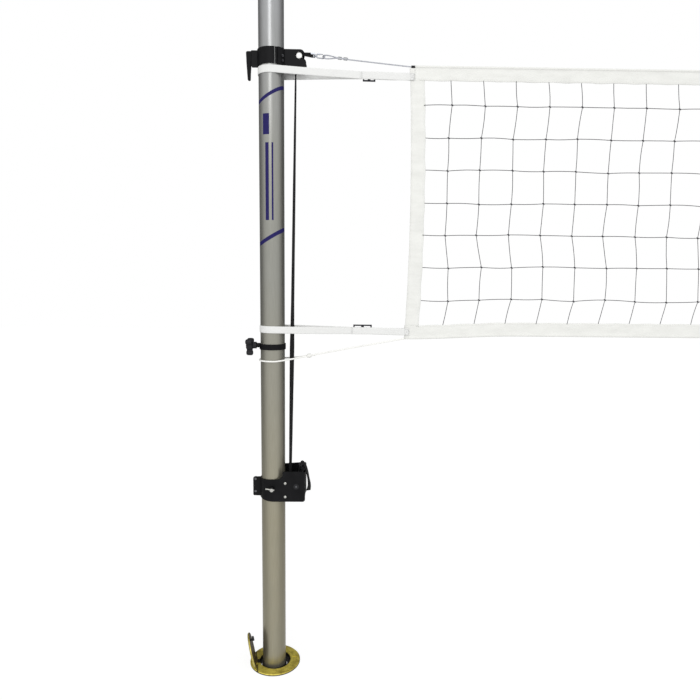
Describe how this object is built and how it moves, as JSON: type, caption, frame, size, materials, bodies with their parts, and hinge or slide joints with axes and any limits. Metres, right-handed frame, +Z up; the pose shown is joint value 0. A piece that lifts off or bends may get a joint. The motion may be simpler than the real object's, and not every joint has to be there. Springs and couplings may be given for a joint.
{
  "type": "volleyball net on poles",
  "caption": "Volleyball net with white edge tapes, hung between socketed round poles by clamp collars, straps, a cable and a strap winch.",
  "frame": {"origin": "on the winch pole's axis at floor level, which is the top rim of its floor sleeve", "axes": "+X along the net from the winch pole to the far pole, +Y to the back of the net, +Z up along the poles"},
  "size_m": [10.9348, 0.194, 2.833],
  "materials": {
    "pole_alloy": "satin anodised",
    "black_plastic": "matte",
    "sleeve_steel": "dull galvanised",
    "plate_brass": "polished, slightly worn",
    "latch_black": "matte",
    "black_paint": "satin powder coat",
    "zinc_steel": "bright zinc",
    "dark_steel": "oiled",
    "pulley_nylon": "smooth",
    "knob_plastic": "fine grain",
    "black_webbing": "woven",
    "hook_zinc": "dull zinc",
    "cable_steel": "stranded",
    "net_cord": "knotted cord",
    "white_tape": "coated tape",
    "white_webbing": "woven",
    "buckle_black": "satin",
    "white_rope": "braided"
  },
  "bodies": {
    "base": {"winch_pole": "pole_alloy", "far_pole": "pole_alloy", "pole_caps": "black_plastic", "pole_feet": "black_plastic", "winch_sleeve": "sleeve_steel", "far_sleeve": "sleeve_steel", "winch_floor_plate": "plate_brass", "far_floor_plate": "plate_brass", "lid_hinge_pins": "plate_brass", "winch_front_plate": "black_paint", "winch_rear_plate": "black_paint", "winch_end_wall": "black_paint", "winch_clamp_bolts": "dark_steel", "winch_spacer_bolts": "zinc_steel", "drum_bushes": "black_plastic", "pawl_pin": "dark_steel", "belt_tail": "black_webbing"},
    "net_rig": {"winch_collar_band": "black_paint", "far_collar_band": "black_paint", "winch_collar_bracket": "black_paint", "far_collar_bracket": "black_paint", "collar_screws": "dark_steel", "pulley_axle": "zinc_steel", "anchor_pin": "zinc_steel", "anchor_strap": "black_webbing", "net_mesh": "net_cord", "top_tape": "white_tape", "bottom_tape": "white_tape", "side_tapes": "white_tape", "net_cable": "cable_steel", "cable_ferrules": "cable_steel", "cable_sleeves": "black_plastic", "top_straps": "white_webbing", "bottom_straps": "white_webbing", "strap_buckles": "buckle_black", "bottom_rope": "white_rope", "rope_hitches": "white_rope", "lower_collars": "black_paint", "belt_end": "black_webbing", "snap_hooks": "hook_zinc", "lift_belt": "black_webbing"},
    "drum": {"belt_drum": "dark_steel", "ratchet_wheel": "dark_steel", "belt_roll": "black_webbing"},
    "pawl_body": {"pawl": "dark_steel"},
    "clamp_screw_body": {"clamp_screw": "zinc_steel"},
    "tommy_bar_body": {"tommy_bar": "zinc_steel"},
    "pulley_body": {"pulley": "pulley_nylon"},
    "winch_lever": {"winch_collar_lever": "black_paint"},
    "far_lever": {"far_collar_lever": "black_paint"},
    "winch_knob": {"winch_collar_knob": "knob_plastic"},
    "far_knob": {"far_collar_knob": "knob_plastic"},
    "winch_lid_body": {"winch_lid": "plate_brass"},
    "far_lid_body": {"far_lid": "plate_brass"},
    "winch_latch": {"winch_lid_latch": "latch_black"},
    "far_latch": {"far_lid_latch": "latch_black"},
    "winch_gate": {"winch_hook_gate": "hook_zinc"},
    "far_gate": {"far_hook_gate": "hook_zinc"}
  },
  "joints": [
    {"name": "net_height", "type": "slide", "parent": "base", "child": "net_rig", "axis": [0, 0, 1], "range_m": [-0.24, 0.19], "deforming": ["lift_belt"]},
    {"name": "drum_spin", "type": "hinge", "parent": "base", "child": "drum", "pos_m": [0.089, 0, 0.728], "axis": [0, 1, 0], "continuous": true},
    {"name": "pawl_lift", "type": "hinge", "parent": "base", "child": "pawl_body", "pos_m": [0.108, 0.02, 0.772], "axis": [0, 1, 0], "range_deg": [0, 25]},
    {"name": "clamp_screw_turn", "type": "hinge", "parent": "base", "child": "clamp_screw_body", "pos_m": [0, -0.0577, 0.721], "axis": [0, 1, 0], "continuous": true},
    {"name": "tommy_bar_slide", "type": "slide", "parent": "clamp_screw_body", "child": "tommy_bar_body", "axis": [0.9903, 0, -0.1392], "range_m": [0, 0.0132]},
    {"name": "pulley_spin", "type": "hinge", "parent": "net_rig", "child": "pulley_body", "pos_m": [0.0975, 0, 2.2625], "axis": [0, 1, 0], "continuous": true},
    {"name": "winch_lever_turn", "type": "hinge", "parent": "net_rig", "child": "winch_lever", "pos_m": [-0.068, 0, 2.264], "axis": [1, 0, 0], "range_deg": [0, 150]},
    {"name": "winch_knob_turn", "type": "hinge", "parent": "net_rig", "child": "winch_knob", "pos_m": [-0.07, 0, 1.251], "axis": [1, 0, 0], "continuous": true},
    {"name": "winch_lid_swing", "type": "hinge", "parent": "base", "child": "winch_lid_body", "pos_m": [-0.06889, -0.00968, 0.005], "axis": [-0.1736, 0.9848, 0], "range_deg": [-12, 17]},
    {"name": "winch_latch_turn", "type": "hinge", "parent": "winch_lid_body", "child": "winch_latch", "pos_m": [-0.08492, -0.0125, 0.09772], "axis": [-0.9596, -0.1692, -0.225], "range_deg": [0, 90]},
    {"name": "winch_gate_swing", "type": "hinge", "parent": "net_rig", "child": "winch_gate", "pos_m": [0.16683, 0, 2.27251], "axis": [0, 1, 0], "range_deg": [0, 6], "stiffness_Nm_per_rad": 0.01, "springref_deg": -17.19},
    {"name": "far_lever_turn", "type": "hinge", "parent": "net_rig", "child": "far_lever", "pos_m": [10.79, 0, 2.264], "axis": [1, 0, 0], "range_deg": [0, 150]},
    {"name": "far_knob_turn", "type": "hinge", "parent": "net_rig", "child": "far_knob", "pos_m": [10.792, 0, 1.251], "axis": [1, 0, 0], "continuous": true},
    {"name": "far_lid_swing", "type": "hinge", "parent": "base", "child": "far_lid_body", "pos_m": [10.79089, -0.00968, 0.005], "axis": [-0.1736, -0.9848, 0], "range_deg": [-12, 17]},
    {"name": "far_latch_turn", "type": "hinge", "parent": "far_lid_body", "child": "far_latch", "pos_m": [10.80692, -0.0125, 0.09772], "axis": [0.9596, -0.1692, -0.225], "range_deg": [0, 90]},
    {"name": "far_gate_swing", "type": "hinge", "parent": "net_rig", "child": "far_gate", "pos_m": [10.55518, 0, 2.27251], "axis": [0, -1, 0], "range_deg": [0, 6], "stiffness_Nm_per_rad": 0.01, "springref_deg": -17.19}
  ],
  "couplings": [
    {"joint": "pulley_spin", "follows": "drum_spin", "ratio": 2.226}
  ]
}
